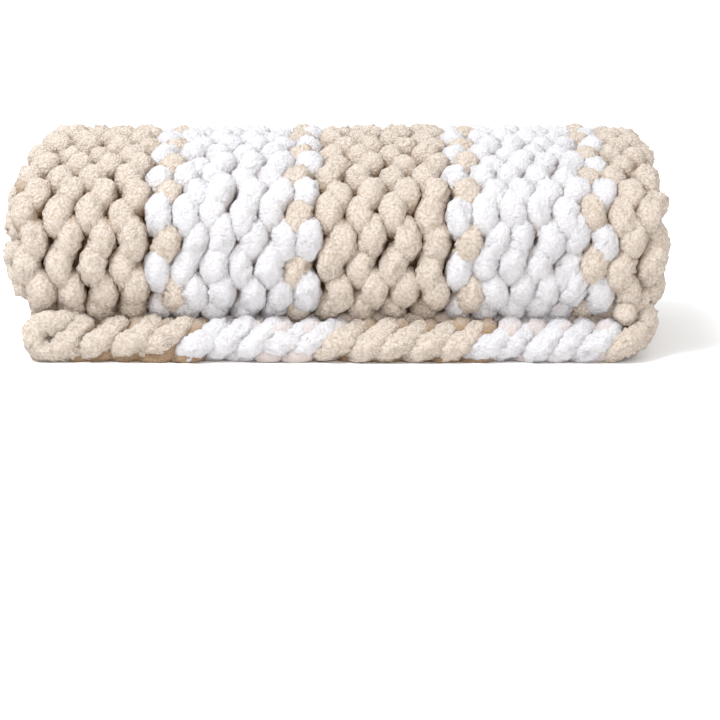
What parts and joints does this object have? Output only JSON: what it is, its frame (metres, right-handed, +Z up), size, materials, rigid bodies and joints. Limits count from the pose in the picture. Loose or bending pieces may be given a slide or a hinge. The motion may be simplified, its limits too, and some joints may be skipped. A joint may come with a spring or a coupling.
{
  "type": "rolled chunky knit blanket",
  "caption": "Chunky knit throw in wide beige and white stripes, folded in half, rolled up and laid flat with its loose end in front.",
  "frame": {"origin": "bottom centre of the bounding box, on the surface that the blanket rests on", "axes": "+X along the roll to the right as seen from the front, +Y to the back, away from the loose end, +Z up"},
  "size_m": [0.64, 0.3109, 0.2042],
  "materials": {
    "beige_yarn": "matte",
    "white_yarn": "matte"
  },
  "bodies": {
    "root": {"knit_blanket": "beige_yarn"}
  },
  "joints": []
}
